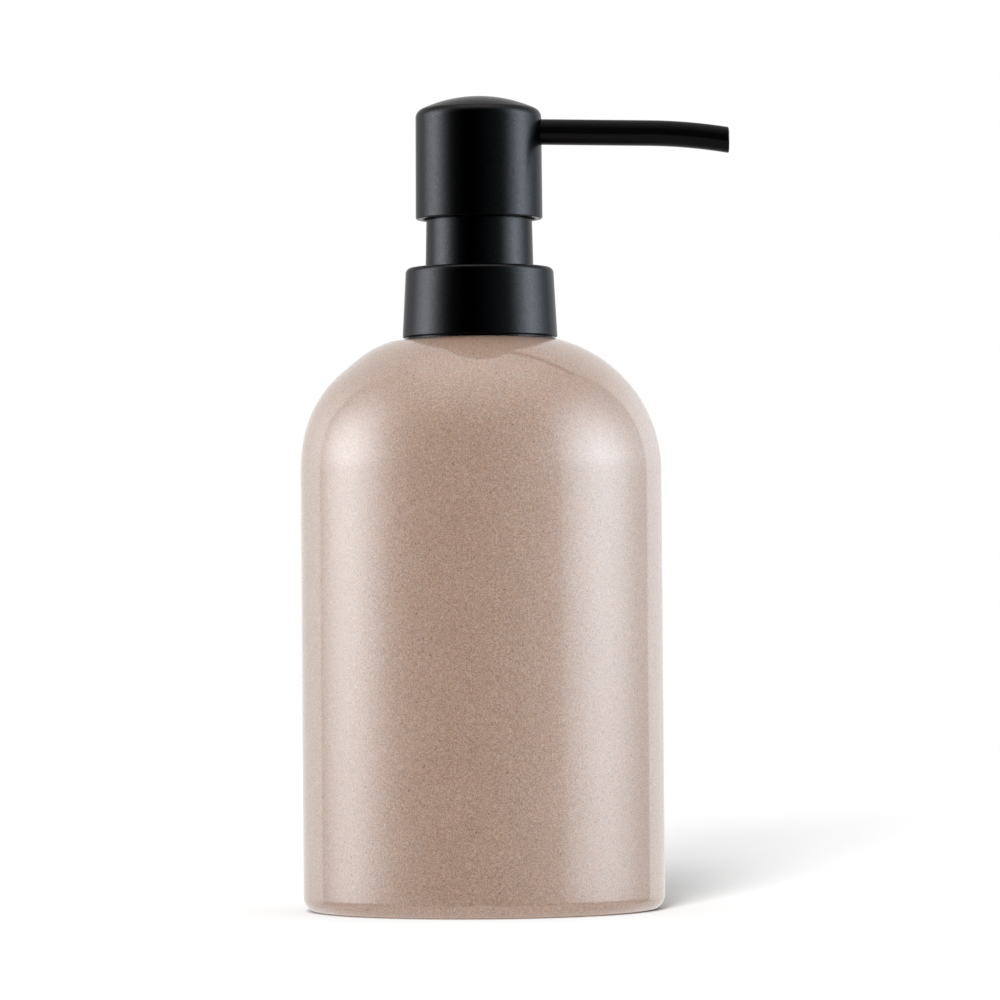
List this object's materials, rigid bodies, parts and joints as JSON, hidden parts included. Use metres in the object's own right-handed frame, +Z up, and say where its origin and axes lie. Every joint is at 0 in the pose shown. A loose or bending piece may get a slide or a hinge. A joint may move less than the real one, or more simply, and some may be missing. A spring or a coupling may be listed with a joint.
{
  "type": "soap pump dispenser",
  "caption": "Round-shouldered glazed stoneware bottle with a black screw-on lotion pump: domed push head over a neck sleeve and a slim, gently bent spout.",
  "frame": {"origin": "centre of the foot's resting plane, on the pump's axis", "axes": "+Z up along the pump's axis, +X along the spout at rest"},
  "size_m": [0.0896, 0.075, 0.1691],
  "materials": {
    "glazed_stoneware": "clear glossy glaze over fine speckled taupe stoneware",
    "black_plastic": "satin, fine moulded grain",
    "gloss_black": "glossy black coating on a drawn steel tube",
    "white_plastic": "natural polypropylene",
    "clear_tube": "translucent polyethylene",
    "seal": "soft foamed polyethylene",
    "steel": "bright stainless"
  },
  "bodies": {
    "bottle": {"bottle": "glazed_stoneware", "neck_insert": "white_plastic"},
    "pump_unit": {"pump_housing": "white_plastic", "neck_gasket": "seal", "stem_guide": "white_plastic", "neck_sleeve": "black_plastic", "ball_cage": "white_plastic", "dip_tube": "clear_tube", "return_spring": "steel"},
    "collar": {"collar": "black_plastic"},
    "carriage": {"valve_pin": "white_plastic"},
    "slip_piston": {"piston": "white_plastic"},
    "push_head": {"head_shell": "black_plastic", "head_core": "black_plastic", "spout": "gloss_black", "stem": "white_plastic"},
    "inlet_ball": {"inlet_ball": "steel"}
  },
  "joints": [
    {"name": "pump_lift", "type": "slide", "parent": "bottle", "child": "pump_unit", "axis": [0, 0, 1], "range_m": [0, 0.00635]},
    {"name": "collar_turn", "type": "hinge", "parent": "pump_unit", "child": "collar", "pos_m": [0, 0, 0.126], "axis": [0, 0, 1], "range_deg": [0, 540]},
    {"name": "head_press", "type": "slide", "parent": "pump_unit", "child": "carriage", "axis": [0, 0, -1], "range_m": [0, 0.009], "stiffness_N_per_m": 600, "springref_m": -0.01, "deforming": ["return_spring"]},
    {"name": "piston_slip", "type": "slide", "parent": "carriage", "child": "slip_piston", "axis": [0, 0, 1], "range_m": [0, 0.001]},
    {"name": "head_turn", "type": "hinge", "parent": "carriage", "child": "push_head", "pos_m": [0, 0, 0.14], "axis": [0, 0, 1], "continuous": true},
    {"name": "ball_lift", "type": "slide", "parent": "pump_unit", "child": "inlet_ball", "axis": [0, 0, 1], "range_m": [0, 0.0015]}
  ],
  "couplings": [
    {"joint": "collar_turn", "follows": "pump_lift", "rad_per_m": 1484.3}
  ]
}
